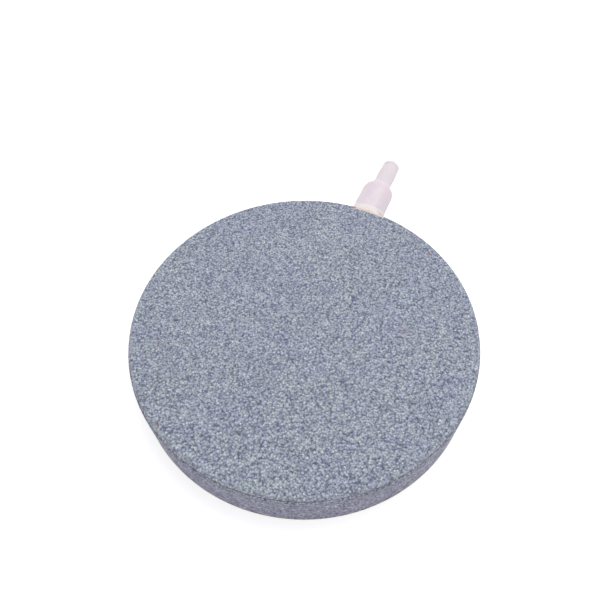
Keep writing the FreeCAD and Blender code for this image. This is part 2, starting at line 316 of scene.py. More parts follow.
class Graph:
    """Short calls that add nodes to a tree and join them."""

    def __init__(self, tree: bpy.types.NodeTree) -> None:
        """Wraps a shader, geometry or group tree."""
        self.tree = tree

    def add(self, kind: str, inputs: Optional[dict] = None, **settings: object) -> bpy.types.Node:
        """Adds a node.

        Args:
            kind: the node's type.
            inputs: what each input gets, by name or number: a value or a socket.
            settings: the node's own properties.

        Returns:
            The new node.
        """
        node = self.tree.nodes.new(kind)
        for key, value in settings.items():
            setattr(node, key, value)
        for key, value in (inputs or {}).items():
            self.feed(node.inputs[key], value)
        return node

    def feed(self, socket: Socket, value: object) -> None:
        """Joins a socket to an input, or sets the input to a plain value.

        Args:
            socket: the input.
            value: a socket or a plain value.
        """
        if isinstance(value, bpy.types.NodeSocket):
            self.tree.links.new(value, socket)
        else:
            socket.default_value = value

    def math(self, operation: str, *values: Number) -> Socket:
        """Returns the result of a Math node."""
        return self.add("ShaderNodeMath", dict(enumerate(values)), operation=operation).outputs[0]

    def product(self, *values: Number) -> Socket:
        """Returns all the numbers multiplied together, from the first to the last."""
        return reduce(lambda total, value: self.math("MULTIPLY", total, value), values)

    def apart(self, first: Number, second: Number) -> Socket:
        """Returns how far apart two numbers are."""
        return self.math("ABSOLUTE", self.math("SUBTRACT", first, second))

    def axes(self, vector: Socket) -> Sequence[Socket]:
        """Returns the X, Y and Z of a vector, or the three parts of a colour."""
        return self.add("ShaderNodeSeparateXYZ", {0: vector}).outputs

    def vectors(self, operation: str, first: object, second: object) -> Socket:
        """Returns the vector that a Vector Math node makes of two."""
        return self.add("ShaderNodeVectorMath", {0: first, 1: second}, operation=operation).outputs[0]

    def scaled(self, vector: Socket, factor: Number) -> Socket:
        """Returns a vector made longer or shorter."""
        node = self.add("ShaderNodeVectorMath", {0: vector, "Scale": factor}, operation="SCALE")
        return node.outputs[0]

    def along(self, axis: int, length: Number) -> Socket:
        """Returns a vector along one axis: 0 for X, 1 for Y and 2 for Z."""
        return self.add("ShaderNodeCombineXYZ", {axis: length}).outputs[0]

    def radius(self, place: Socket) -> Socket:
        """Returns how far a place is from the Z axis."""
        level = self.vectors("MULTIPLY", place, LEVEL)
        return self.add("ShaderNodeVectorMath", {0: level}, operation="LENGTH").outputs["Value"]

    def between(self, value: Number, low: Number, high: Number, soft: bool = True) -> Socket:
        """Turns a number into a share.

        Args:
            value: the number.
            low: where the share is 0.
            high: where the share is 1.
            soft: whether the ramp between them starts and ends softly.

        Returns:
            The share, from 0 to 1.
        """
        node = self.add("ShaderNodeMapRange", {"Value": value, "From Min": low, "From Max": high})
        node.interpolation_type = "SMOOTHSTEP" if soft else "LINEAR"
        return node.outputs["Result"]

    def blend(self, share: Number, first: Number, second: Number) -> Socket:
        """Returns a number that goes from first to second as share goes from 0 to 1."""
        node = self.add("ShaderNodeMix", {0: share, 2: first, 3: second}, data_type="FLOAT")
        return node.outputs[0]

    def tint(self, share: Number, first: object, second: object, way: str = "MIX") -> Socket:
        """Mixes two colours, each a socket or a Colour.

        Args:
            share: how much of the second there is.
            first: the colour at 0.
            second: the colour at 1.
            way: how the second is laid over the first.

        Returns:
            The mixed colour.
        """
        values = [c if isinstance(c, bpy.types.NodeSocket) else (*c, 1.0) for c in (first, second)]
        inputs = {0: share, 6: values[0], 7: values[1]}
        return self.add("ShaderNodeMix", inputs, data_type="RGBA", blend_type=way).outputs[2]

    def ramp(self, value: Socket, stops: Sequence[tuple[float, Colour]]) -> Socket:
        """Gives a value the colour of its place on a ramp.

        Args:
            value: where on the ramp.
            stops: each place and its colour, in order.

        Returns:
            The colour.
        """
        node = self.add("ShaderNodeValToRGB", {"Fac": value})
        elements = node.color_ramp.elements
        while len(elements) < len(stops):
            elements.new(1.0)
        for element, (place, colour) in zip(elements, stops):
            element.position = place
            element.color = (*colour, 1.0)
        return node.outputs["Color"]

    def noise(self, where: Socket, grain: float, detail: float = 2.0, rough: float = 0.5) -> Socket:
        """Returns soft noise whose lumps are about one grain across."""
        settings = {"Vector": where, "Scale": 1.0 / grain, "Detail": detail, "Roughness": rough}
        return self.add("ShaderNodeTexNoise", settings).outputs[0]

    def waver(self, where: Socket, grain: float, detail: float = 2.0) -> Socket:
        """Returns the same noise as a swing to both sides of nought."""
        return self.math("SUBTRACT", self.noise(where, grain, detail), 0.5)

    def cells(self, where: Socket, grain: float) -> bpy.types.Node:
        """Returns a Voronoi node whose cells are about one grain across."""
        return self.add("ShaderNodeTexVoronoi", {"Vector": where, "Scale": 1.0 / grain})


def lay_grains(graph: Graph, where: Socket, grain: float) -> tuple[Socket, Socket]:
    """Adds the pattern of packed grains, alike in a geometry tree and in a shader tree.

    Args:
        graph: the tree.
        where: the place that the pattern is read at.
        grain: the size of a grain.

    Returns:
        A random tone for each grain, and the height: 1 on a grain, 0 in the pits where grains meet.
    """
    lift = graph.math("MULTIPLY", graph.waver(where, grain * 0.8), grain * 0.8)
    bent = graph.vectors("ADD", where, lift)
    cell = graph.cells(bent, grain)
    tones = graph.axes(cell.outputs["Color"])
    pit = graph.blend(tones[1], 0.75, 0.95)
    return tones[0], graph.between(cell.outputs["Distance"], pit, 0.25)


def lay_two_grades(graph: Graph, where: Socket, grain: float) -> tuple[Socket, Socket]:
    """Adds coarse grains with finer ones fused on to them.

    Args:
        graph: the tree.
        where: the place that the pattern is read at.
        grain: the size of a coarse grain.

    Returns:
        The tone and the height, as lay_grains gives them.
    """
    tone, height = lay_grains(graph, where, grain)
    apart = graph.vectors("ADD", where, FINE_SHIFT)
    fine_tone, fine_height = lay_grains(graph, apart, grain * 0.6)
    return graph.blend(0.45, tone, fine_tone), graph.blend(0.35, height, fine_height)


def grain_group() -> bpy.types.NodeTree:
    """Builds the shader group of packed grains once. It takes Vector.

    Returns:
        The group, which gives Tone, Height and Speck.
    """
    name = "packed_grains"
    if name in bpy.data.node_groups:
        return bpy.data.node_groups[name]
    tree = bpy.data.node_groups.new(name, "ShaderNodeTree")
    tree.interface.new_socket("Vector", in_out="INPUT", socket_type="NodeSocketVector")
    for output in ("Tone", "Height", "Speck"):
        tree.interface.new_socket(output, in_out="OUTPUT", socket_type="NodeSocketFloat")
    graph = Graph(tree)
    where = graph.add("NodeGroupInput").outputs["Vector"]
    tone, height = lay_two_grades(graph, where, GRAIN)
    speck = graph.axes(graph.cells(where, 0.7 * MM).outputs["Color"])[2]
    rare = graph.math("GREATER_THAN", speck, 0.999)
    graph.add("NodeGroupOutput", {"Tone": tone, "Height": height, "Speck": rare})
    return tree


def grains_at(graph: Graph, where: Socket) -> Sequence[Socket]:
    """Adds the group of packed grains to a material.

    Args:
        graph: the material's graph.
        where: the place that the grains are read at.

    Returns:
        Tone, Height and Speck.
    """
    group = graph.add("ShaderNodeGroup", node_tree=grain_group())
    graph.feed(group.inputs["Vector"], where)
    return group.outputs


def mottle_group() -> bpy.types.NodeTree:
    """Builds the shader group of slow, uneven shading once. It takes Vector, Patch (a size) and Amount.

    Returns:
        The group, which gives Shade, a grey near one.
    """
    name = "uneven_shade"
    if name in bpy.data.node_groups:
        return bpy.data.node_groups[name]
    tree = bpy.data.node_groups.new(name, "ShaderNodeTree")
    tree.interface.new_socket("Vector", in_out="INPUT", socket_type="NodeSocketVector")
    tree.interface.new_socket("Patch", in_out="INPUT", socket_type="NodeSocketFloat")
    tree.interface.new_socket("Amount", in_out="INPUT", socket_type="NodeSocketFloat")
    tree.interface.new_socket("Shade", in_out="OUTPUT", socket_type="NodeSocketFloat")
    graph = Graph(tree)
    given = graph.add("NodeGroupInput").outputs
    scale = graph.math("DIVIDE", 1.0, given["Patch"])
    settings = {"Vector": given["Vector"], "Scale": scale, "Detail": 3.0, "Roughness": 0.55}
    lumps = graph.add("ShaderNodeTexNoise", settings).outputs[0]
    amount = graph.math("MULTIPLY", given["Amount"], 2.0)
    swing = graph.math("MULTIPLY", graph.math("SUBTRACT", lumps, 0.5), amount)
    graph.add("NodeGroupOutput", {"Shade": graph.math("ADD", swing, 1.0)})
    return tree


def new_finish(name: str) -> tuple[bpy.types.Material, Graph, bpy.types.Node]:
    """Starts a material.

    Args:
        name: the material's name.

    Returns:
        The material, its graph and its Principled shader.
    """
    material = bpy.data.materials.new(name)
    material.use_nodes = True
    graph = Graph(material.node_tree)
    return material, graph, material.node_tree.nodes["Principled BSDF"]


def place_of(graph: Graph, space: Space) -> Socket:
    """Adds the vector that a pattern is laid out on.

    Args:
        graph: the material's graph.
        space: what the pattern follows.

    Returns:
        The vector.
    """
    if space is Space.REST:
        return graph.add("ShaderNodeAttribute", attribute_name=REST).outputs["Vector"]
    return graph.add("ShaderNodeTexCoord").outputs["Object"]


def shaded(graph: Graph, where: Socket, colour: Socket, patch: float, amount: float) -> Socket:
    """Lays slow, uneven shading over a colour.

    Args:
        graph: the material's graph.
        where: the place that the shading is read at.
        colour: the colour under it.
        patch: the size of a patch.
        amount: how far the shade swings each way.

    Returns:
        The shaded colour.
    """
    group = graph.add("ShaderNodeGroup", node_tree=mottle_group())
    graph.feed(group.inputs["Vector"], where)
    graph.feed(group.inputs["Patch"], patch)
    graph.feed(group.inputs["Amount"], amount)
    grey = graph.add("ShaderNodeCombineColor", {i: group.outputs["Shade"] for i in range(3)}).outputs[0]
    return graph.tint(1.0, colour, grey, "MULTIPLY")


@dataclass(frozen=True)
class GlueSmear:
    """The cream glue that was wiped from the bead up over the rim's top edge, with one brown stain."""

    middle: float = 1.9 * MM  # the X of its middle
    half_width: float = 4.4 * MM
    inner: float = 38.5 * MM  # how far from the Z axis it starts
    lowest: float = 7 * MM
    narrowing: float = 0.4  # how much narrower it gets on the way down the wall
    narrow_from: float = 12.5 * MM
    raggedness: float = 0.6 * MM
    cream: Colour = (0.84, 0.76, 0.69)
    amber: Colour = (0.82, 0.68, 0.62)
    brown: Colour = (0.4, 0.19, 0.17)
    stain: tuple[float, float, float] = (-2.4 * MM, 39.3 * MM, 12.9 * MM)  # the stain's place
    stain_radius: float = 0.5 * MM

    def over(self, graph: Graph, where: Socket, colour: Socket) -> Socket:
        """Lays the glue over a colour.

        Args:
            graph: the material's graph.
            where: the place, in the frame.
            colour: the colour under the glue.

        Returns:
            The colour with the glue on it.
        """
        axes = graph.axes(where)
        ragged = graph.math("MULTIPLY", graph.waver(where, 1.1 * MM), self.raggedness)
        sag = graph.math("MULTIPLY", graph.math("SUBTRACT", self.narrow_from, axes[2]), self.narrowing)
        side = graph.math("ADD", graph.apart(axes[0], self.middle), graph.math("MAXIMUM", sag, 0.0))
        side = graph.math("ADD", side, ragged)
        near = graph.between(side, self.half_width, self.half_width - 0.3 * MM)
        near = graph.math("MULTIPLY", near, graph.between(axes[1], 0.0, 10 * MM))
        reach = graph.math("ADD", graph.radius(where), ragged)
        inner = graph.between(reach, self.inner, self.inner + 0.2 * MM)
        upper = graph.between(axes[2], self.lowest, self.lowest + 1 * MM)
        clouds = graph.between(graph.noise(where, 1.5 * MM), 0.4, 0.65)
        glue = graph.tint(clouds, self.cream, self.amber)
        glue_and_highlight = graph.tint(graph.product(near, inner, upper), colour, glue)
        off = graph.add("ShaderNodeVectorMath", {0: where, 1: self.stain}, operation="DISTANCE")
        stained = graph.between(off.outputs["Value"], self.stain_radius + 0.3 * MM, self.stain_radius)
        return graph.tint(stained, glue_and_highlight, self.brown)


def bumped(graph: Graph, height: Socket, strength: float, depth: float) -> Socket:
    """Returns the normal that a Bump node makes of a height."""
    settings = {"Height": height, "Strength": strength, "Distance": depth}
    return graph.add("ShaderNodeBump", settings).outputs["Normal"]


def let_light_in(shader: bpy.types.Node, weight: float, reach: Colour, depth: float) -> None:
    """Lets light pass a little way under a surface.

    Args:
        shader: the Principled shader.
        weight: how much of the light goes in.
        reach: how far the red, green and blue go, as shares of the depth.
        depth: the depth.
    """
    shader.inputs["Subsurface Weight"].default_value = weight
    shader.inputs["Subsurface Radius"].default_value = reach
    shader.inputs["Subsurface Scale"].default_value = depth


# ---------------------------------------------------------------------------------------------
# Finishes


@dataclass(frozen=True)
class GritFinish:
    """Bare fired grit: pale and slate grains, dark pores whose darkness is partly painted shade, and a rare
    rusty speck.
    """

    name: str = "bare_grit"
    space: Space = Space.REST
    pit: Colour = (0.07, 0.072, 0.135)
    slate: Colour = (0.19, 0.203, 0.3)
    middle: Colour = (0.345, 0.385, 0.48)
    light: Colour = (0.48, 0.535, 0.61)
    pale: Colour = (0.82, 0.89, 0.91)
    cool: Colour = (0.985, 0.985, 1.02)
    earthy: Colour = (1.01, 1.015, 1.0)
    violet: Colour = (1.02, 0.985, 1.035)
    mossy: Colour = (0.99, 1.015, 0.945)
    rust: Colour = (0.34, 0.235, 0.17)
    rim_highlight: Colour = (0.16, 0.17, 0.17)  # how much paler the outer edge is painted: a painted highlight where the rim catches the light
    rim_highlight_from: float = 38.8 * MM  # how far from the middle the painted highlight on the outer edge starts
    rim_highlight_fade: float = 0.5 * MM

    def build(self) -> bpy.types.Material:
        """Makes the material.

        Returns:
            The finished material.
        """
        material, graph, shader = new_finish(self.name)
        where = place_of(graph, self.space)
        tone, height, speck = grains_at(graph, where)
        # The pits between grains take the darker colours: partly the pores' own dark, partly painted shade
        # in the hollows.
        value = graph.blend(0.55, tone, height)
        tones = (self.pit, self.slate, self.middle, self.light, self.pale)
        colour = graph.ramp(value, list(zip((0.08, 0.32, 0.55, 0.72, 0.97), tones)))
        colour = graph.tint(speck, colour, self.rust)
        drift = graph.between(graph.noise(where, 14 * MM), 0.35, 0.65)
        drift = graph.tint(drift, self.cool, self.earthy)
        colour = graph.tint(1.0, colour, drift, "MULTIPLY")
        hue = graph.between(graph.noise(where, 0.9 * MM), 0.3, 0.7)
        hue = graph.tint(hue, self.violet, self.mossy)
        colour = graph.tint(1.0, colour, hue, "MULTIPLY")
        colour = shaded(graph, where, colour, 6 * MM, 0.04)
        # Painted highlight: the outer edge of the top is screened paler, standing in for light caught on the
        # rim.
        rim_highlight = graph.between(graph.radius(where), self.rim_highlight_from, self.rim_highlight_from + self.rim_highlight_fade)
        colour = graph.tint(graph.math("MULTIPLY", rim_highlight, 0.5), colour, self.rim_highlight, "SCREEN")
        graph.feed(shader.inputs["Base Color"], GlueSmear().over(graph, where, colour))
        graph.feed(shader.inputs["Roughness"], graph.blend(tone, 0.95, 0.7))
        crumbs = graph.noise(where, 0.12 * MM, 3.0, 0.65)
        relief = graph.math("ADD", graph.math("MULTIPLY", height, 0.8), graph.math("MULTIPLY", crumbs, 0.35))
        graph.feed(shader.inputs["Normal"], bumped(graph, relief, 0.6, 0.12 * MM))
        shader.inputs["Specular IOR Level"].default_value = 0.35
        return material


@dataclass(frozen=True)
class CoatFinish:
    """Grit under a brushed coat of sealer: the grains show through, duller and closer in tone."""

    top: float  # the Z of the coat's upper edge
    name: str = "brushed_sealer"
    pit: Colour = (0.03, 0.03, 0.07)
    dark: Colour = (0.145, 0.15, 0.24)
    middle: Colour = (0.32, 0.325, 0.44)
    light: Colour = (0.51, 0.515, 0.63)
    pale: Colour = (0.95, 0.95, 0.98)
    rust: Colour = (0.36, 0.27, 0.25)
    edge_highlight: Colour = (0.16, 0.16, 0.16)  # how much paler the upper edge is painted: a painted highlight along the rim's edge
    dark_line_depth: float = 1.3 * MM  # how far below that edge the darker line is

    def build(self) -> bpy.types.Material:
        """Makes the material.

        Returns:
            The finished material.
        """
        material, graph, shader = new_finish(self.name)
        where = place_of(graph, Space.REST)
        tone, height, speck = grains_at(graph, where)
        # As on the bare grit, the pits take the darker colours: partly their own dark, partly painted shade
        # in the hollows.
        value = graph.blend(0.5, tone, height)
        tones = (self.pit, self.dark, self.middle, self.light, self.pale)
        colour = graph.ramp(value, list(zip((0.08, 0.32, 0.55, 0.75, 0.97), tones)))
        colour = graph.tint(speck, colour, self.rust)
        flat = graph.add("ShaderNodeMapping", {"Vector": where, "Scale": (1.0, 1.0, 3.0)}).outputs[0]
        colour = shaded(graph, flat, colour, 5 * MM, 0.07)
        up = graph.axes(where)[2]
        dark_line = graph.between(graph.apart(up, self.top - self.dark_line_depth), 0.9 * MM, 0.4 * MM)
        colour = graph.tint(graph.math("MULTIPLY", dark_line, 0.12), colour, self.dark)
        # Painted highlight: the top half millimetre of the coat is screened paler, where the rim's edge
        # catches the light.
        edge_highlight = graph.between(up, self.top - 0.5 * MM, self.top)
        colour = graph.tint(edge_highlight, colour, self.edge_highlight, "SCREEN")
        graph.feed(shader.inputs["Base Color"], GlueSmear().over(graph, where, colour))
        wet = graph.noise(where, 2.2 * MM, 2.0)
        graph.feed(shader.inputs["Roughness"], graph.blend(graph.between(wet, 0.4, 0.65), 0.5, 0.75))
        film = graph.noise(where, 0.35 * MM, 2.0)
        relief = graph.math("ADD", graph.math("MULTIPLY", height, 0.5), graph.math("MULTIPLY", film, 0.4))
        graph.feed(shader.inputs["Normal"], bumped(graph, relief, 0.5, 0.12 * MM))
        shader.inputs["Specular IOR Level"].default_value = 0.4
        return material


@dataclass(frozen=True)
class ResinFinish:
    """Cast glue between the plates: deeper where it is thick, with bubbles caught in it."""

    name: str
    thin: Colour
    thick: Colour
    patch: float
    bubble: float = 0.55 * MM
    roughness: float = 0.25
    see_in: float = 0.25

    def build(self) -> bpy.types.Material:
        """Makes the material.

        Returns:
            The finished material.
        """
        material, graph, shader = new_finish(self.name)
        where = place_of(graph, Space.OBJECT)
        clouds = graph.noise(where, self.patch, 3.0, 0.6)
        colour = graph.tint(graph.between(clouds, 0.35, 0.68), self.thin, self.thick)
        bubbles = graph.cells(where, self.bubble * 4)
        round_bubble = graph.between(bubbles.outputs["Distance"], 0.1, 0.15)
        pick = graph.axes(bubbles.outputs["Color"])[0]
        inside = graph.math("SUBTRACT", 1.0, round_bubble)
        shown = graph.math("MULTIPLY", graph.math("GREATER_THAN", pick, 0.6), inside)
        pale = graph.tint(0.5, self.thin, (1.0, 1.0, 1.0))
        colour = graph.tint(graph.math("MULTIPLY", shown, 0.6), colour, pale)
        colour = shaded(graph, where, colour, self.patch * 2, 0.08)
        graph.feed(shader.inputs["Base Color"], colour)
        streaks = graph.noise(where, self.patch * 0.4, 2.0)
        graph.feed(shader.inputs["Roughness"], graph.blend(streaks, self.roughness, self.roughness + 0.2))
        ripples = graph.noise(where, self.patch * 0.5, 2.0)
        relief = graph.math("SUBTRACT", ripples, graph.math("MULTIPLY", shown, 0.4))
        graph.feed(shader.inputs["Normal"], bumped(graph, relief, 0.35, 0.15 * MM))
        let_light_in(shader, self.see_in, AMBER_REACH, 1.2 * MM)
        shader.inputs["Coat Weight"].default_value = 0.2
        return material


@dataclass(frozen=True)
class SealFinish:
    """Thin cream resin poured over grit: the grains show faintly through, with bubbles and pour rings."""

    name: str = "poured_cream_resin"
    over_grain: Colour = (0.72, 0.66, 0.54)
    over_pit: Colour = (0.3, 0.25, 0.2)
    thick: Colour = (0.7, 0.57, 0.4)
    bubble: Colour = (0.85, 0.8, 0.7)

    def build(self) -> bpy.types.Material:
        """Makes the material.

        Returns:
            The finished material.
        """
        material, graph, shader = new_finish(self.name)
        where = place_of(graph, Space.REST)
        tone, height, _ = grains_at(graph, where)
        value = graph.blend(0.5, tone, height)
        below = graph.tint(graph.between(value, 0.15, 0.75), self.over_pit, self.over_grain)
        pools = graph.between(graph.noise(where, 11 * MM, 3.0, 0.5), 0.3, 0.75)
        colour = graph.tint(graph.blend(pools, 0.35, 0.9), below, self.thick)
        cells = graph.cells(where, 1.9 * MM)
        pick = graph.axes(cells.outputs["Color"])
        size = graph.blend(pick[1], 0.05, 0.17)
        ring = graph.between(graph.apart(cells.outputs["Distance"], size), 0.05, 0.01)
        shown = graph.math("MULTIPLY", graph.math("GREATER_THAN", pick[0], 0.72), ring)
        colour = graph.tint(graph.math("MULTIPLY", shown, 0.7), colour, self.bubble)
        colour = shaded(graph, where, colour, 7 * MM, 0.06)
        graph.feed(shader.inputs["Base Color"], colour)
        scuffs = graph.between(graph.noise(where, 1.6 * MM, 4.0, 0.7), 0.45, 0.7)
        graph.feed(shader.inputs["Roughness"], graph.blend(scuffs, 0.22, 0.5))
        settings = {"Vector": where, "Scale": 1.0 / (7 * MM), "Distortion": 1.5}
        ripples = graph.add("ShaderNodeTexNoise", settings).outputs[0]
        relief = graph.math("ADD", graph.math("MULTIPLY", ripples, 2.0), graph.math("MULTIPLY", shown, 0.3))
        relief = graph.math("ADD", relief, graph.math("MULTIPLY", value, 0.12))
        graph.feed(shader.inputs["Normal"], bumped(graph, relief, 0.5, 0.2 * MM))
        graph.feed(shader.inputs["Coat Weight"], graph.blend(scuffs, 0.4, 0.1))
        return material


@dataclass(frozen=True)
class SoftPlasticFinish:
    """Milky soft plastic with a faint rosy tint, and a film of glue wiped up the wall near its mouth.

    The film reaches further out lower down, where it ran before it set.
    """

    axis: float  # the Z of the nozzle's axis
    mouth: float  # the Y of its open end
    end: float  # the Y of its tip
    name: str = "milky_soft_plastic"
    body: Colour = (0.9, 0.795, 0.87)
    deep: Colour = (0.86, 0.75, 0.83)
    shine: Colour = (0.98, 0.88, 0.92)
    # The next colour paints a highlight band by the mouth, where the ring there catches the light.
    glue_and_highlight: Colour = (1.0, 0.88, 0.895)
    film: Colour = (1.0, 0.88, 0.84)
    brown: Colour = (0.62, 0.36, 0.3)
    faint: Colour = (0.55, 0.42, 0.5)
    highlight_side: float = 1.6 * MM  # the X of the painted highlight streak along the top
    line_depth: float = 1.7 * MM  # how far from the tip the faint line round it is
    wall: float = 4.4 * MM  # the body's radius
    run: float = 0.59  # how fast the film's edge moves out on the way down
    run_most: float = 3.3 * MM
    film_end: float = 0.55 * MM
    highlight_end: float = 2.1 * MM

    def build(self) -> bpy.types.Material:
        """Makes the material.

        Returns:
            The finished material.
        """
        material, graph, shader = new_finish(self.name)
        where = place_of(graph, Space.REST)
        milk = graph.noise(where, 3.5 * MM, 3.0, 0.6)
        colour = graph.tint(graph.between(milk, 0.35, 0.7), self.body, self.deep)
        axes = graph.axes(where)
        # Painted highlight: a paler streak along the top of the body.
        across = graph.between(graph.apart(axes[0], self.highlight_side), 0.9 * MM, 0.2 * MM)
        above = graph.between(axes[2], self.axis, self.axis + 2 * MM)
        colour = graph.tint(graph.product(across, above, 0.25), colour, self.shine)
        step = graph.apart(axes[1], self.end - self.line_depth)
        line = graph.math("MULTIPLY", graph.between(step, 0.25 * MM, 0.05 * MM), 0.35)
        colour = graph.tint(line, colour, self.faint)
        reach = self.glue_reach(graph, where, axes)
        colour = self.add_glue(graph, where, reach, colour)
        graph.feed(shader.inputs["Base Color"], shaded(graph, where, colour, 2 * MM, 0.03))
        scuffs = graph.noise(where, 0.6 * MM, 4.0, 0.7)
        graph.feed(shader.inputs["Roughness"], graph.blend(scuffs, 0.3, 0.55))
        skin = graph.math("MULTIPLY", graph.noise(where, 0.25 * MM, 2.0), 0.25)
        filmed = graph.between(reach, self.film_end + 0.1 * MM, self.film_end - 0.1 * MM)
        graph.feed(shader.inputs["Normal"], bumped(graph, graph.math("ADD", skin, filmed), 0.4, 0.06 * MM))
        let_light_in(shader, 0.6, ROSY_REACH, 2.5 * MM)
        shader.inputs["IOR"].default_value = 1.43
        return material

    def glue_reach(self, graph: Graph, where: Socket, axes: Sequence[Socket]) -> Socket:
        """Measures how far out a place is from where the film starts.

        Args:
            graph: the material's graph.
            where: the place.
            axes: its X, Y and Z.

        Returns:
            The distance along the nozzle.
        """
        down = graph.math("MULTIPLY", graph.math("SUBTRACT", self.axis + self.wall, axes[2]), self.run)
        down = graph.math("MINIMUM", down, self.run_most)
        ragged = graph.math("MULTIPLY", graph.waver(where, 1.6 * MM), 0.5 * MM)
        out = graph.math("SUBTRACT", graph.math("SUBTRACT", axes[1], self.mouth), down)
        return graph.math("ADD", out, ragged)

    def add_glue(self, graph: Graph, where: Socket, reach: Socket, colour: Socket) -> Socket:
        """Lays the painted highlight band by the mouth, the glue film and its brown edge over a colour.

        Args:
            graph: the material's graph.
            where: the place.
            reach: how far out it is, as glue_reach gives it.
            colour: the colour under the glue.

        Returns:
            The colour with the painted highlight band and the glue on it.
        """
        # Painted highlight: a paler band by the mouth, standing in for light caught on the ring.
        highlight_band = graph.between(reach, self.highlight_end + 0.3 * MM, self.highlight_end - 0.3 * MM)
        colour = graph.tint(highlight_band, colour, self.glue_and_highlight)
        film = graph.between(reach, self.film_end + 0.1 * MM, self.film_end - 0.1 * MM)
        colour = graph.tint(film, colour, self.film)
        edge = graph.apart(reach, self.film_end + 0.15 * MM)
        patchy = graph.between(graph.noise(where, 2.2 * MM, 2.0), 0.35, 0.6)
        strength = graph.blend(patchy, 0.15, 0.6)
        line = graph.math("MULTIPLY", graph.between(edge, 0.3 * MM, 0.1 * MM), strength)
        return graph.tint(line, colour, self.brown)


@dataclass(frozen=True)
class BeadFinish:
    """Pale rosy glue that squeezed out at the rim, with a brown line a little behind the nozzle's mouth."""

    mouth: float  # the Y of the nozzle's open end
    name: str = "squeezed_glue"
    pale: Colour = (1.0, 0.87, 0.88)
    rosy: Colour = (0.97, 0.82, 0.81)
    brown: Colour = (0.55, 0.33, 0.29)
    line_back: float = 1.05 * MM  # how far behind the mouth the brown line is

    def build(self) -> bpy.types.Material:
        """Makes the material.

        Returns:
            The finished material.
        """
        material, graph, shader = new_finish(self.name)
        where = place_of(graph, Space.REST)
        clouds = graph.between(graph.noise(where, 1.6 * MM, 3.0, 0.6), 0.4, 0.7)
        colour = graph.tint(clouds, self.pale, self.rosy)
        along = graph.axes(where)[1]
        ragged = graph.math("MULTIPLY", graph.waver(where, 1.2 * MM), 0.5 * MM)
        off = graph.apart(graph.math("ADD", along, ragged), self.mouth - self.line_back)
        line = graph.between(off, 0.28 * MM, 0.05 * MM)
        patchy = graph.between(graph.noise(where, 2.6 * MM, 2.0), 0.38, 0.6)
        colour = graph.tint(graph.math("MULTIPLY", line, patchy), colour, self.brown)
        graph.feed(shader.inputs["Base Color"], shaded(graph, where, colour, 2 * MM, 0.06))
        graph.feed(shader.inputs["Roughness"], graph.blend(clouds, 0.28, 0.5))
        ripples = graph.noise(where, 0.5 * MM, 2.0)
        graph.feed(shader.inputs["Normal"], bumped(graph, ripples, 0.3, 0.1 * MM))
        let_light_in(shader, 0.3, AMBER_REACH, 0.8 * MM)
        return material


@dataclass(frozen=True)
class RigidPlasticFinish:
    """The inlet tube: extruded white plastic with faint draw lines."""

    name: str = "extruded_tube"
    body: Colour = (0.78, 0.78, 0.76)
    stained: Colour = (0.66, 0.62, 0.55)

    def build(self) -> bpy.types.Material:
        """Makes the material.

        Returns:
            The finished material.
        """
        material, graph, shader = new_finish(self.name)
        where = place_of(graph, Space.OBJECT)
        drawn = graph.add("ShaderNodeMapping", {"Vector": where, "Scale": (1.0, 0.05, 1.0)}).outputs[0]
        lines = graph.noise(drawn, 0.3 * MM, 3.0)
        stain = graph.between(graph.noise(where, 4 * MM, 3.0), 0.5, 0.75)
        colour = graph.tint(stain, self.body, self.stained)
        graph.feed(shader.inputs["Base Color"], shaded(graph, where, colour, 3 * MM, 0.05))
        graph.feed(shader.inputs["Roughness"], graph.blend(lines, 0.35, 0.55))
        graph.feed(shader.inputs["Normal"], bumped(graph, lines, 0.3, 0.04 * MM))
        return material


# ---------------------------------------------------------------------------------------------
# Relief


def displace(piece: bpy.types.Object, name: str, offset: Callable[[Graph, Socket, Socket], Socket]) -> None:
    """Moves a piece's points by a geometry tree, and keeps each point's old place as an attribute.

    Args:
        piece: the mesh to move.
        name: what the relief is called.
        offset: takes the tree's graph, the place and the normal, and returns how far a point moves.
    """
    tree = bpy.data.node_groups.new(name + "_on_" + piece.name, "GeometryNodeTree")
    tree.interface.new_socket("Geometry", in_out="INPUT", socket_type="NodeSocketGeometry")
    tree.interface.new_socket("Geometry", in_out="OUTPUT", socket_type="NodeSocketGeometry")
    graph = Graph(tree)
    given = graph.add("NodeGroupInput").outputs["Geometry"]
    place = graph.add("GeometryNodeInputPosition").outputs[0]
    normal = graph.add("GeometryNodeInputNormal").outputs[0]
    keep = graph.add("GeometryNodeStoreNamedAttribute", {"Geometry": given, "Name": REST})
    keep.data_type = "FLOAT_VECTOR"
    keep.domain = "POINT"
    graph.feed(next(s for s in keep.inputs if s.name == "Value" and s.type == "VECTOR"), place)
    moves = {"Geometry": keep.outputs["Geometry"], "Offset": offset(graph, place, normal)}
    moved = graph.add("GeometryNodeSetPosition", moves)
    graph.add("NodeGroupOutput", {"Geometry": moved.outputs["Geometry"]})
    piece.modifiers.new(name, "NODES").node_group = tree
    apply_modifiers(piece)


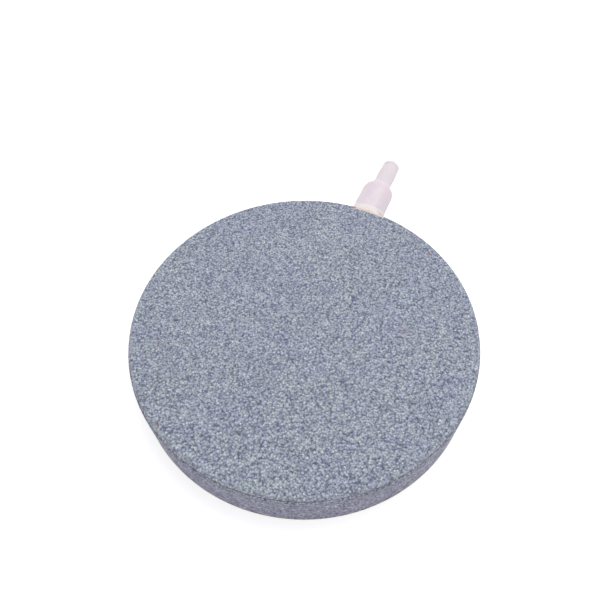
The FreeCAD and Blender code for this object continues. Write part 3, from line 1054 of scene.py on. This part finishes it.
@dataclass(frozen=True)
class Grit:
    """How deep the grains stand, and where on a piece they are raised."""

    depth: float
    low: float  # the Z below which nothing is raised
    fade: float  # how far above that they reach their full depth
    film: float = 0.0  # how much of the relief a sealing film fills, from 0 to 1

    def raise_on(self, piece: bpy.types.Object) -> None:
        """Cuts the pores between the grains into a piece's surface, and keeps each point's old place."""
        displace(piece, "grit", self.offset)

    def offset(self, graph: Graph, place: Socket, normal: Socket) -> Socket:
        """Lays out the pores.

        Args:
            graph: the geometry tree's graph.
            place: a point's place.
            normal: its normal.

        Returns:
            How far the point moves inwards.
        """
        _, height = lay_two_grades(graph, place, GRAIN)
        crumbs = graph.noise(place, 0.3 * MM, 1.0)
        drop = graph.math("SUBTRACT", graph.blend(0.25, height, crumbs), 1.0)
        up = graph.axes(place)[2]
        share = graph.between(up, self.low, self.low + self.fade)
        reach = graph.math("MULTIPLY", share, self.depth * (1.0 - self.film))
        inwards = graph.math("MULTIPLY", drop, reach)
        return graph.scaled(normal, inwards)


def round_patch(radius: float, height: float, faces: int, levels: int, name: str) -> bpy.types.Object:
    """Makes a flat round patch of even, four-sided faces.

    A square grid has its border drawn out to a circle and its inside relaxed, and is then
    divided. All the faces stay nearly the same size, so that grit stands evenly over them.

    Args:
        radius: the patch's radius.
        height: its Z.
        faces: faces along each side of the first grid.
        levels: how many times each face is divided in four.
        name: the new object's name.

    Returns:
        The patch.
    """
    bpy.ops.mesh.primitive_grid_add(
        x_subdivisions=faces, y_subdivisions=faces, size=radius * 1.6, location=(0.0, 0.0, height)
    )
    patch = bpy.context.object
    patch.name = name
    freeze(patch)
    with editing(patch):
        to_circle(radius, height)
        bpy.ops.mesh.select_all(action="INVERT")
        bpy.ops.mesh.vertices_smooth(factor=0.5, repeat=300)
    divide = patch.modifiers.new("divide", "SUBSURF")
    divide.levels = levels
    divide.render_levels = levels
    apply_modifiers(patch)
    with editing(patch):
        to_circle(radius, height)
    return patch


def to_circle(radius: float, height: float) -> None:
    """Draws the border of the mesh being edited out to a circle, and leaves it selected.

    Args:
        radius: the circle's radius about the Z axis.
        height: its Z.
    """
    bpy.ops.mesh.select_all(action="SELECT")
    bpy.ops.mesh.region_to_loop()
    bpy.ops.mesh.select_mode(type="VERT")
    bpy.ops.transform.tosphere(value=1.0, center_override=(0.0, 0.0, height))
    piece = bpy.context.object
    bpy.ops.object.mode_set(mode="OBJECT")
    border = np.array([v.co[:] for v in piece.data.vertices if v.select])
    bpy.ops.object.mode_set(mode="EDIT")
    scale_selected(radius / np.hypot(border[:, 0], border[:, 1]).mean())


# ---------------------------------------------------------------------------------------------
# Sub-assemblies


@dataclass
class DiffuserPlate:
    """The porous top plate: the frame's chamber and posts below, raised grit above."""

    name: str = "grit_top"
    node: str = "diffuser_plate"
    broken_edge: float = 0.6 * MM
    skirt: float = 1.4 * MM  # how far down the side the raised grit goes
    grit: float = 0.14 * MM
    edge_rows: int = 3
    skirt_rows: int = 4
    faces: int = 18
    levels: int = 4

    def build(self) -> bpy.types.Object:
        """Makes the plate and puts it in the frame.

        Returns:
            The finished piece.
        """
        low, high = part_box(self.node)
        radius, top = (high.x - low.x) / 2, high.z
        seam = top - self.skirt
        skin = round_patch(radius - self.broken_edge, top, self.faces, self.levels, self.name)
        with editing(skin, "EDGE"):
            bpy.ops.mesh.select_all(action="SELECT")
            bpy.ops.mesh.region_to_loop()
            rise = self.broken_edge / self.edge_rows
            for row in range(self.edge_rows, 0, -1):
                here = radius - rise * row
                extrude_edges((here + rise) / here, -rise)
            for _ in range(self.skirt_rows):
                extrude_edges(1.0, -(self.skirt - self.broken_edge) / self.skirt_rows)
        self.join_core(skin, seam)
        Grit(depth=self.grit, low=seam + 0.1 * MM, fade=0.4 * MM).raise_on(skin)
        finish_piece(skin, GritFinish().build(), Slot.STONE, self.node)
        return skin

    def join_core(self, skin: bpy.types.Object, seam: float) -> None:
        """Joins the frame's own plate, cut off at the seam, under the skin.

        Args:
            skin: the raised top, open below.
            seam: the Z at which the two meet.
        """
        core = copy_of_node(self.node, "core")
        with editing(core):
            bpy.ops.mesh.select_all(action="SELECT")
            bpy.ops.mesh.bisect(plane_co=(0.0, 0.0, seam), plane_no=(0.0, 0.0, 1.0), clear_outer=True)
        activate(skin)
        core.select_set(True)
        bpy.ops.object.join()
        with editing(skin, "EDGE"):
            bpy.ops.mesh.select_non_manifold(extend=False)
            bpy.ops.mesh.bridge_edge_loops()
        face_outwards(skin)


@dataclass
class RimCoat:
    """The brushed sealing coat round the side wall."""

    name: str = "brushed_rim"
    node: str = "rim_coat"
    segments: int = 1000
    rows: int = 44
    grit: float = 0.16 * MM
    film: float = 0.4
    hole: float = 2.7 * MM  # the opening that the inlet tube passes through
    waver: float = 0.2 * MM  # how far the brushed upper edge dips
    feather: float = 0.24 * MM  # how far the coat thins towards that edge

    def build(self) -> bpy.types.Object:
        """Makes the coat and puts it in the frame.

        Returns:
            The finished piece.
        """
        low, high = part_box(self.node)
        radius, height = high.x, high.z - low.z
        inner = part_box("base_plate")[1].x
        bpy.ops.mesh.primitive_cylinder_add(
            vertices=self.segments,
            radius=radius,
            depth=height,
            location=(0.0, 0.0, (low.z + high.z) / 2),
            end_fill_type="NOTHING",
        )
        wall = bpy.context.object
        wall.name = self.name
        freeze(wall)
        with editing(wall, "EDGE"):
            select_upright_edges(wall)
            bpy.ops.mesh.subdivide(number_cuts=self.rows)
            bpy.ops.mesh.select_all(action="DESELECT")
            bpy.ops.mesh.select_non_manifold(extend=False)
            bpy.ops.mesh.extrude_region_move()
            scale_selected(inner / radius)
            bpy.ops.mesh.bridge_edge_loops()
        face_outwards(wall)
        axis = (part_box("inlet_tube")[0].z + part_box("inlet_tube")[1].z) / 2
        cut_with(wall, rod_along_y(self.hole, inner * 0.95, radius * 1.05, axis))
        displace(wall, "brush_edge", self.brushed_edge)
        Grit(depth=self.grit, low=low.z, fade=0.5 * MM, film=self.film).raise_on(wall)
        finish_piece(wall, CoatFinish(top=high.z).build(), Slot.COAT, self.node)
        return wall

    def brushed_edge(self, graph: Graph, place: Socket, _normal: Socket) -> Socket:
        """Thins the coat towards its upper edge and makes that edge waver.

        Args:
            graph: the geometry tree's graph.
            place: a point's place.
            _normal: its normal, which has no part in it.

        Returns:
            How far the point moves.
        """
        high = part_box(self.node)[1]
        axes = graph.axes(place)
        share = graph.between(axes[2], high.z - 0.9 * MM, high.z)
        strokes = graph.blend(0.35, graph.noise(place, 6 * MM, 1.0), graph.noise(place, 1.4 * MM, 1.0))
        drop = graph.product(strokes, share, -self.waver)
        level = graph.vectors("MULTIPLY", place, LEVEL)
        reach = graph.add("ShaderNodeVectorMath", {0: level}, operation="LENGTH").outputs["Value"]
        outer = graph.between(reach, high.x - 0.2 * MM, high.x)
        thinned = graph.product(outer, share, -self.feather / high.x)
        inwards = graph.scaled(level, thinned)
        down = graph.along(2, drop)
        return graph.vectors("ADD", inwards, down)


@dataclass
class UndersideSeal:
    """The resin poured over the underside: level where it rests, with a soft, uneven edge."""

    name: str = "poured_seal"
    node: str = "underside_seal"
    edge: float = 0.3 * MM  # the rounding of its lower edge
    edge_rows: int = 4
    closing: float = 0.9  # how far in the hidden upper face is drawn before it is closed
    faces: int = 14
    levels: int = 3
    hollow: float = 0.07 * MM  # how far the poured face dips upwards between its high spots

    def build(self) -> bpy.types.Object:
        """Makes the seal and puts it in the frame.

        Returns:
            The finished piece.
        """
        low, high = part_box(self.node)
        radius = (high.x - low.x) / 2
        seal = round_patch(radius - self.edge, low.z, self.faces, self.levels, self.name)
        with editing(seal, "EDGE"):
            bpy.ops.mesh.select_all(action="SELECT")
            bpy.ops.mesh.region_to_loop()
            reach, level = radius - self.edge, low.z
            for row in range(1, self.edge_rows + 1):
                turn = row / self.edge_rows * math.pi / 2
                next_reach = radius - self.edge * (1 - math.sin(turn))
                next_level = low.z + self.edge * (1 - math.cos(turn))
                extrude_edges(next_reach / reach, next_level - level)
                reach, level = next_reach, next_level
            extrude_edges(1.0, high.z - level)
            extrude_edges(self.closing)
            bpy.ops.mesh.edge_face_add()
        face_outwards(seal)
        displace(seal, "pour", self.poured)
        smooth(seal, 40)
        finish_piece(seal, SealFinish().build(), Slot.RESIN, self.node)
        return seal

    def poured(self, graph: Graph, place: Socket, _normal: Socket) -> Socket:
        """Leaves shallow hollows in the resting face.

        Args:
            graph: the geometry tree's graph.
            place: a point's place.
            _normal: its normal, which has no part in it.

        Returns:
            How far the point moves up.
        """
        low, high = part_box(self.node)
        up = graph.axes(place)[2]
        share = graph.between(up, high.z, low.z, soft=False)
        swell = graph.between(graph.noise(place, 9 * MM, 2.0), 0.42, 0.72)
        lift = graph.product(swell, share, self.hollow)
        return graph.along(2, lift)


@dataclass(frozen=True)
class Station:
    """A corner of the nozzle's outline."""

    along: float  # the distance from the nozzle's open end
    radius: float
    rounding: float = 0.0


@dataclass
class HoseNozzle:
    """The soft bottle-shaped nozzle: a glued mouth, a wide body, a shoulder and a thin spigot."""

    name: str = "soft_nozzle"
    node: str = "hose_nozzle"
    segments: int = 96
    ring_width: float = 1.8 * MM
    body_radius: float = 4.4 * MM
    body_end: float = 11.2 * MM
    neck: float = 13.4 * MM
    root_radius: float = 3.0 * MM
    root_end: float = 15.2 * MM
    spigot_radius: float = 2.55 * MM
    spigot_end: float = 20.8 * MM
    lead_radius: float = 2.45 * MM
    tip_chamfer: float = 0.6 * MM
    tip_depth: float = 0.4 * MM
    air_radius: float = 1.2 * MM
    socket_radius: float = 2.3 * MM
    socket_depth: float = 8.0 * MM
    mould_line: float = 0.05 * MM
    slack: float = 0.22 * MM  # how far the wall wavers
    nick: float = 0.35 * MM
    nick_side: float = -0.5 * MM  # its X
    shoulder_steps: int = 8

    def build(self) -> bpy.types.Object:
        """Makes the nozzle and puts it in the frame.

        Returns:
            The finished piece.
        """
        low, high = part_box(self.node)
        height, length = (low.z + high.z) / 2, high.y - low.y
        ring_radius = (high.z - low.z) / 2
        outline = self.rounded(self.outline(ring_radius, length))
        bpy.ops.mesh.primitive_circle_add(
            vertices=self.segments,
            radius=outline[0][1],
            location=(0.0, low.y + outline[0][0], height),
            rotation=(math.pi / 2, 0.0, 0.0),
        )
        nozzle = bpy.context.object
        nozzle.name = self.name
        freeze(nozzle)
        with editing(nozzle, "EDGE"):
            bpy.ops.mesh.select_all(action="SELECT")
            for (start, before), (end, after) in zip(outline, outline[1:] + outline[:1]):
                extrude_ring(end - start, after / before, height)
        face_outwards(nozzle)
        displace(nozzle, "moulding", self.moulding)
        smooth(nozzle, 40)
        finish = SoftPlasticFinish(axis=height, mouth=low.y, end=high.y)
        finish_piece(nozzle, finish.build(), Slot.NOZZLE, self.node)
        return nozzle

    def outline(self, ring_radius: float, length: float) -> list[Station]:
        """Lays out the outline's corners.

        Args:
            ring_radius: the radius of the ring at the mouth.
            length: the nozzle's whole length.

        Returns:
            The corners, from the socket's mouth round the outside and back through the bore.
        """
        return [
            Station(0.0, self.socket_radius, 0.15 * MM),
            Station(0.0, ring_radius, 0.25 * MM),
            Station(self.ring_width, ring_radius, 0.2 * MM),
            Station(self.ring_width + 0.15 * MM, self.body_radius, 0.2 * MM),
            *self.shoulder(),
            Station(self.root_end, self.spigot_radius, 1.2 * MM),
            Station(self.spigot_end, self.spigot_radius, 0.15 * MM),
            Station(self.spigot_end + 0.2 * MM, self.lead_radius, 0.15 * MM),
            Station(length - self.tip_chamfer, self.lead_radius, 0.3 * MM),
            Station(length, self.lead_radius - self.tip_depth, 0.2 * MM),
            Station(length, self.air_radius, 0.15 * MM),
            Station(self.socket_depth, self.air_radius, 0.1 * MM),
            Station(self.socket_depth, self.socket_radius, 0.1 * MM),
        ]

    def shoulder(self) -> list[Station]:
        """Lays out the shoulder's round.

        Returns:
            Its corners, from the body to the neck.
        """
        run, drop = self.neck - self.body_end, self.body_radius - self.root_radius
        radius = (run**2 + drop**2) / (2 * drop)
        whole = math.asin(run / radius)
        stations = []
        for step in range(self.shoulder_steps + 1):
            turn = whole * step / self.shoulder_steps
            along = self.body_end + radius * math.sin(turn)
            stations.append(Station(along, self.body_radius - radius * (1 - math.cos(turn)), 0.6 * MM))
        return stations

    @staticmethod
    def rounded(stations: list[Station]) -> list[tuple[float, float]]:
        """Rounds each corner of the outline by a short curve.

        Args:
            stations: the corners, in order.

        Returns:
            The closed outline as close-set points.
        """
        points = []
        for before, here, after in zip(stations[-1:] + stations[:-1], stations, stations[1:] + stations[:1]):
            corner = Vector((here.along, here.radius))
            sides = [Vector((s.along, s.radius)) - corner for s in (before, after)]
            reach = min([here.rounding] + [side.length * 0.48 for side in sides])
            start, end = (corner + side.normalized() * reach for side in sides)
            steps = 8 if here.rounding > 0.5 * MM else 4
            for step in range(steps + 1):
                share = step / steps
                point = start * (1 - share) ** 2 + corner * 2 * share * (1 - share) + end * share**2
                points.append((point.x, point.y))
        return points

    def moulding(self, graph: Graph, place: Socket, normal: Socket) -> Socket:
        """Lays out the relief: two faint mould lines, a slack wall and the nick where the tip was cut.

        Args:
            graph: the geometry tree's graph.
            place: a point's place.
            normal: its normal.

        Returns:
            How far the point moves.
        """
        low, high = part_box(self.node)
        height = (low.z + high.z) / 2
        axes = graph.axes(place)
        up = graph.apart(axes[2], height)
        relief = graph.math("MULTIPLY", graph.between(up, 0.35 * MM, 0.1 * MM), self.mould_line)
        sag = graph.math("MULTIPLY", graph.waver(place, 5 * MM, 1.0), self.slack)
        relief = graph.math("ADD", relief, sag)
        squares = graph.math("ADD", graph.product(axes[0], axes[0]), graph.product(up, up))
        reach = graph.math("SQRT", squares)
        shown = graph.between(reach, self.socket_radius - 0.3 * MM, self.socket_radius - 0.1 * MM)
        shown = graph.math("MAXIMUM", shown, graph.between(axes[1], high.y - self.socket_depth, high.y))
        walled = graph.between(reach, self.air_radius, self.air_radius + 0.4 * MM)
        sideways = graph.vectors("MULTIPLY", normal, (1.0, 0.0, 1.0))
        swell = graph.scaled(sideways, graph.product(shown, walled, relief))
        across = graph.between(graph.apart(axes[0], self.nick_side), 0.8 * MM, 0.2 * MM)
        above = graph.between(axes[2], height, height + 1 * MM)
        near_tip = graph.between(axes[1], high.y - 1.2 * MM, high.y)
        cut = graph.product(across, above, near_tip, -self.nick)
        return graph.vectors("ADD", swell, graph.along(1, cut))


@dataclass
class GlueBead:
    """The glue that holds tube and nozzle: a smooth filling in the hole, an uneven bead outside.

    Above the nozzle the bead is heaped up towards the rim's top edge.
    """

    name: str = "glue_bead"
    node: str = "nozzle_glue"
    voxel: float = 0.13 * MM
    lump: float = 0.3 * MM
    heap: float = 0.35 * MM
    heap_side: float = 4 * MM  # how far out the heap goes on rising
    heap_spread: float = 0.07 / MM  # how much it rises with the square of the way out
    soften_passes: int = 3

    def build(self) -> bpy.types.Object:
        """Makes the bead and puts it in the frame.

        Returns:
            The finished piece.
        """
        bead = copy_of_node(self.node, self.name)
        remesh = bead.modifiers.new("even_faces", "REMESH")
        remesh.mode = "VOXEL"
        remesh.voxel_size = self.voxel
        apply_modifiers(bead)
        displace(bead, "lumps", self.lumps)
        soften = bead.modifiers.new("soften", "SMOOTH")
        soften.iterations = self.soften_passes
        apply_modifiers(bead)
        smooth(bead, 60)
        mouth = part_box("hose_nozzle")[0].y
        finish_piece(bead, BeadFinish(mouth=mouth).build(), Slot.BEAD_GLUE, self.node)
        return bead

    def lumps(self, graph: Graph, place: Socket, normal: Socket) -> Socket:
        """Lays out the swelling of the bead outside the rim, with the heap above the nozzle.

        Args:
            graph: the geometry tree's graph.
            place: a point's place.
            normal: its normal.

        Returns:
            How far the point moves.
        """
        low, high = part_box(self.node)
        rim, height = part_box("rim_coat")[1].x, (low.z + high.z) / 2
        axes = graph.axes(place)
        outside = graph.between(axes[1], rim, rim + 0.4 * MM)
        swell = graph.product(graph.waver(place, 1.8 * MM), outside, self.lump * 2)
        lumps = graph.scaled(normal, swell)
        side = graph.math("MINIMUM", graph.math("ABSOLUTE", axes[0]), self.heap_side)
        rise = graph.math("ADD", graph.product(side, side, self.heap_spread), self.heap)
        above = graph.between(axes[2], height, height + 3.5 * MM)
        heaped = graph.product(above, graph.between(axes[0], -4.5 * MM, -1.5 * MM), outside)
        return graph.vectors("ADD", lumps, graph.along(2, graph.math("MULTIPLY", rise, heaped)))


@dataclass
class InnerPieces:
    """The pieces inside, which keep the frame's shapes."""

    glue_thin: Colour = (0.6, 0.48, 0.3)
    glue_thick: Colour = (0.5, 0.36, 0.2)
    glue_patch: float = 4 * MM

    def build(self) -> None:
        """Gives each of them its finish."""
        glue = ResinFinish("plate_joint_glue", self.glue_thin, self.glue_thick, self.glue_patch).build()
        stone = GritFinish("bare_grit_inside", Space.OBJECT).build()
        tube = RigidPlasticFinish().build()
        dressed = {"base_plate": stone, "rim_bond": glue, "post_bonds": glue, "inlet_tube": tube}
        for node, material in dressed.items():
            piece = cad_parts[node]
            piece.data.materials.clear()
            piece.data.materials.append(material)
            LOG.info("%s keeps its shape, finished as %s", node, material.name)


@dataclass
class Studio:
    """The white floor, the room's light, the lamp and the camera."""

    azimuth_deg: float = 24.6
    elevation_deg: float = 57.08
    distance: float = 125.7 * MM
    lens_mm: float = 33.0
    sensor_mm: float = 36.0
    aim_up_deg: float = 2.34
    aim_left_deg: float = 0.55
    roll_deg: float = -1.44
    floor_size: float = 6.0
    floor_gap: float = 0.02 * MM  # how far below the object's lowest point the floor is
    floor_colour: Colour = (0.86, 0.86, 0.87)
    room_light: float = 0.56
    floor_glow: float = 0.56  # what the camera sees the floor give besides the light it throws back
    lamp_size: float = 0.45
    lamp_energy: float = 1.08
    lamp_colour: Colour = (1.0, 0.99, 0.98)
    lamp_place: tuple[float, float, float] = (0.04, 0.18, 0.47)

    def build(self, low: Vector, high: Vector) -> None:
        """Sets the scene round the object.

        Args:
            low: the lowest corner of the object's box.
            high: the highest corner of the object's box.
        """
        self.add_floor(low.z)
        self.add_world()
        self.add_lamp()
        self.add_camera(Vector((0.0, 0.0, high.z)))
        bpy.context.scene.view_settings.view_transform = "Standard"

    def add_floor(self, height: float) -> None:
        """Adds a wide white floor that keeps the object's shadow.

        Args:
            height: the Z that the object rests at.
        """
        place = (0.0, 0.0, height - self.floor_gap)
        bpy.ops.mesh.primitive_plane_add(size=self.floor_size, location=place)
        floor = bpy.context.object
        floor.name = "floor"
        material, graph, shader = new_finish("white_floor")
        shader.inputs["Base Color"].default_value = (*self.floor_colour, 1.0)
        shader.inputs["Roughness"].default_value = 0.9
        shader.inputs["Specular IOR Level"].default_value = 0.1
        path = graph.add("ShaderNodeLightPath").outputs
        seen = graph.math("MAXIMUM", path["Is Camera Ray"], path["Is Glossy Ray"])
        seen = graph.math("MAXIMUM", seen, path["Is Transmission Ray"])
        strength = graph.math("MULTIPLY", seen, self.floor_glow)
        glow = graph.add("ShaderNodeEmission", {"Color": WHITE, "Strength": strength})
        both = graph.add("ShaderNodeAddShader", {0: shader.outputs[0], 1: glow.outputs[0]})
        out = material.node_tree.nodes["Material Output"]
        graph.feed(out.inputs["Surface"], both.outputs[0])
        floor.data.materials.append(material)
        floor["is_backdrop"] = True

    def add_world(self) -> None:
        """Lights the scene softly from all round, in white."""
        world = bpy.data.worlds.new("soft_room")
        world.use_nodes = True
        graph = Graph(world.node_tree)
        background = world.node_tree.nodes["Background"]
        path = graph.add("ShaderNodeLightPath").outputs
        seen = graph.math("MAXIMUM", path["Is Camera Ray"], path["Is Transmission Ray"])
        background.inputs["Color"].default_value = WHITE
        graph.feed(background.inputs["Strength"], graph.blend(seen, self.room_light, 1.0))
        bpy.context.scene.world = world

    def add_lamp(self) -> None:
        """Hangs one wide soft lamp above and behind."""
        lamp = bpy.data.lights.new("soft_box", "AREA")
        lamp.shape = "DISK"
        lamp.size = self.lamp_size
        lamp.energy = self.lamp_energy
        lamp.color = self.lamp_colour
        box = bpy.data.objects.new("soft_box", lamp)
        box.location = self.lamp_place
        box.rotation_euler = (-box.location).to_track_quat("-Z", "Y").to_euler()
        bpy.context.scene.collection.objects.link(box)

    def add_camera(self, target: Vector) -> None:
        """Places the camera round the middle of the top face.

        Args:
            target: the middle of the top face.
        """
        turn, tilt = math.radians(self.azimuth_deg), math.radians(self.elevation_deg)
        back = Vector((math.sin(turn) * math.cos(tilt), -math.cos(turn) * math.cos(tilt), math.sin(tilt)))
        data = bpy.data.cameras.new("camera")
        data.lens = self.lens_mm
        data.sensor_width = self.sensor_mm
        data.clip_start = 5 * MM
        camera = bpy.data.objects.new("camera", data)
        camera.location = target + back * self.distance
        look_turn = turn + math.radians(self.aim_left_deg)
        look_tilt = tilt - math.radians(self.aim_up_deg)
        level = Euler((math.pi / 2 - look_tilt, 0.0, look_turn)).to_matrix()
        camera.rotation_euler = (level @ Matrix.Rotation(math.radians(self.roll_deg), 3, "Z")).to_euler()
        bpy.context.scene.collection.objects.link(camera)
        bpy.context.scene.camera = camera


def main() -> None:
    """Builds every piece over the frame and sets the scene."""
    logging.basicConfig(level=logging.INFO, format="%(name)s: %(message)s")
    cad_low, cad_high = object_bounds()
    DiffuserPlate().build()
    RimCoat().build()
    UndersideSeal().build()
    HoseNozzle().build()
    GlueBead().build()
    InnerPieces().build()
    Studio().build(cad_low, cad_high)


if __name__ == "__main__":
    main()
